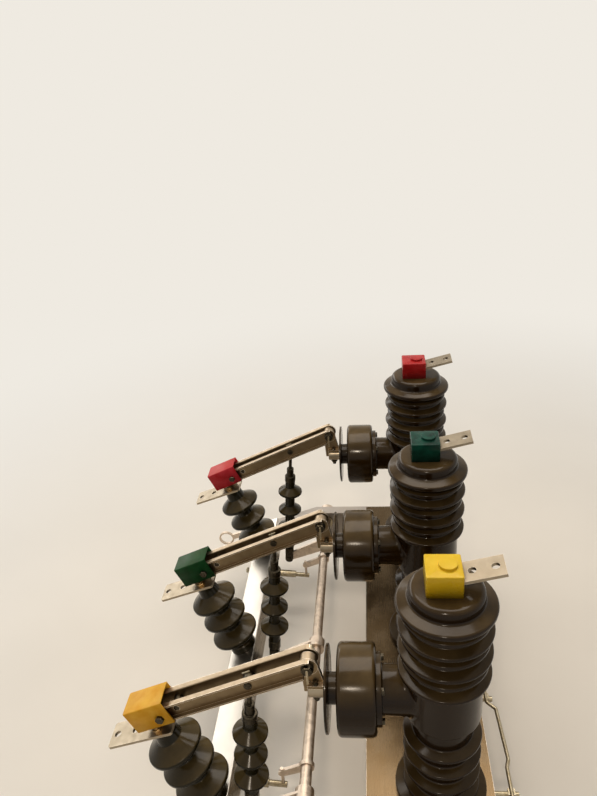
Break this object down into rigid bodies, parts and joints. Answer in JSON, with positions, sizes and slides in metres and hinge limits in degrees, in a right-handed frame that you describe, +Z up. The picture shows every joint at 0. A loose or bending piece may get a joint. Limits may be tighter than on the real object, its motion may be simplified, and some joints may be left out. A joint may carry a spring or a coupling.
{
  "type": "outdoor vacuum circuit breaker with isolator",
  "caption": "Outdoor vacuum breaker: shedded poles with current transformers on a long steel box, and hinged isolator blades swung together by pull rods from one cross shaft.",
  "frame": {"origin": "on the middle pole's axis at the underside of the box", "axes": "+Y along the row of phases, +X towards the top terminals, +Z up"},
  "size_m": [0.681, 0.972, 0.6995],
  "materials": {
    "resin": "glossy",
    "porcelain_grey": "semi-gloss",
    "cover_yellow": "satin",
    "cover_green": "satin",
    "cover_red": "satin",
    "tinned_copper": "satin",
    "stainless": "brushed",
    "arm_paint": "satin",
    "galvanised": "dull",
    "zinc_hardware": "bright"
  },
  "bodies": {
    "root": {"base_box": "stainless", "box_top_plate": "stainless", "arm_near": "arm_paint", "arm_far": "arm_paint", "crossbar": "stainless", "bearing_near": "zinc_hardware", "bearing_far": "zinc_hardware", "side_rod": "zinc_hardware", "stop_rods": "zinc_hardware", "side_standoffs": "zinc_hardware", "pole_a": "resin", "transformer_a": "resin", "outlet_a": "tinned_copper", "hinge_bracket_a": "tinned_copper", "top_terminal_a": "tinned_copper", "top_cover_a": "cover_yellow", "post_insulator_a": "porcelain_grey", "fixed_contact_a": "tinned_copper", "pole_b": "resin", "transformer_b": "resin", "outlet_b": "tinned_copper", "hinge_bracket_b": "tinned_copper", "top_terminal_b": "tinned_copper", "top_cover_b": "cover_green", "post_insulator_b": "porcelain_grey", "fixed_contact_b": "tinned_copper", "pole_c": "resin", "transformer_c": "resin", "outlet_c": "tinned_copper", "hinge_bracket_c": "tinned_copper", "top_terminal_c": "tinned_copper", "top_cover_c": "cover_red", "post_insulator_c": "porcelain_grey", "fixed_contact_c": "tinned_copper"},
    "shaft": {"isolator_shaft": "galvanised", "operating_lever": "galvanised", "shaft_cranks": "galvanised"},
    "blade_a": {"blade_a": "tinned_copper", "blade_pins_a": "zinc_hardware", "tip_cover_a": "cover_yellow"},
    "rod_a": {"pull_rod_a": "porcelain_grey"},
    "blade_b": {"blade_b": "tinned_copper", "blade_pins_b": "zinc_hardware", "tip_cover_b": "cover_green"},
    "rod_b": {"pull_rod_b": "porcelain_grey"},
    "blade_c": {"blade_c": "tinned_copper", "blade_pins_c": "zinc_hardware", "tip_cover_c": "cover_red"},
    "rod_c": {"pull_rod_c": "porcelain_grey"}
  },
  "joints": [
    {"name": "shaft_turn", "type": "hinge", "parent": "root", "child": "shaft", "pos_m": [-0.231, 0, 0.18], "axis": [0, 1, 0], "range_deg": [0, 60]},
    {"name": "blade_turn_a", "type": "hinge", "parent": "root", "child": "blade_a", "pos_m": [-0.203, -0.34, 0.509], "axis": [0, 1, 0], "range_deg": [0, 60]},
    {"name": "rod_turn_a", "type": "hinge", "parent": "blade_a", "child": "rod_a", "pos_m": [-0.29801, -0.34, 0.4667], "axis": [0, 1, 0], "range_deg": [-60, 0]},
    {"name": "blade_turn_b", "type": "hinge", "parent": "root", "child": "blade_b", "pos_m": [-0.203, 0, 0.509], "axis": [0, 1, 0], "range_deg": [0, 60]},
    {"name": "rod_turn_b", "type": "hinge", "parent": "blade_b", "child": "rod_b", "pos_m": [-0.29801, 0, 0.4667], "axis": [0, 1, 0], "range_deg": [-60, 0]},
    {"name": "blade_turn_c", "type": "hinge", "parent": "root", "child": "blade_c", "pos_m": [-0.203, 0.34, 0.509], "axis": [0, 1, 0], "range_deg": [0, 60]},
    {"name": "rod_turn_c", "type": "hinge", "parent": "blade_c", "child": "rod_c", "pos_m": [-0.29801, 0.34, 0.4667], "axis": [0, 1, 0], "range_deg": [-60, 0]}
  ],
  "couplings": [
    {"joint": "blade_turn_a", "follows": "shaft_turn", "ratio": 1},
    {"joint": "rod_turn_a", "follows": "shaft_turn", "ratio": -1},
    {"joint": "blade_turn_b", "follows": "shaft_turn", "ratio": 1},
    {"joint": "rod_turn_b", "follows": "shaft_turn", "ratio": -1},
    {"joint": "blade_turn_c", "follows": "shaft_turn", "ratio": 1},
    {"joint": "rod_turn_c", "follows": "shaft_turn", "ratio": -1}
  ]
}
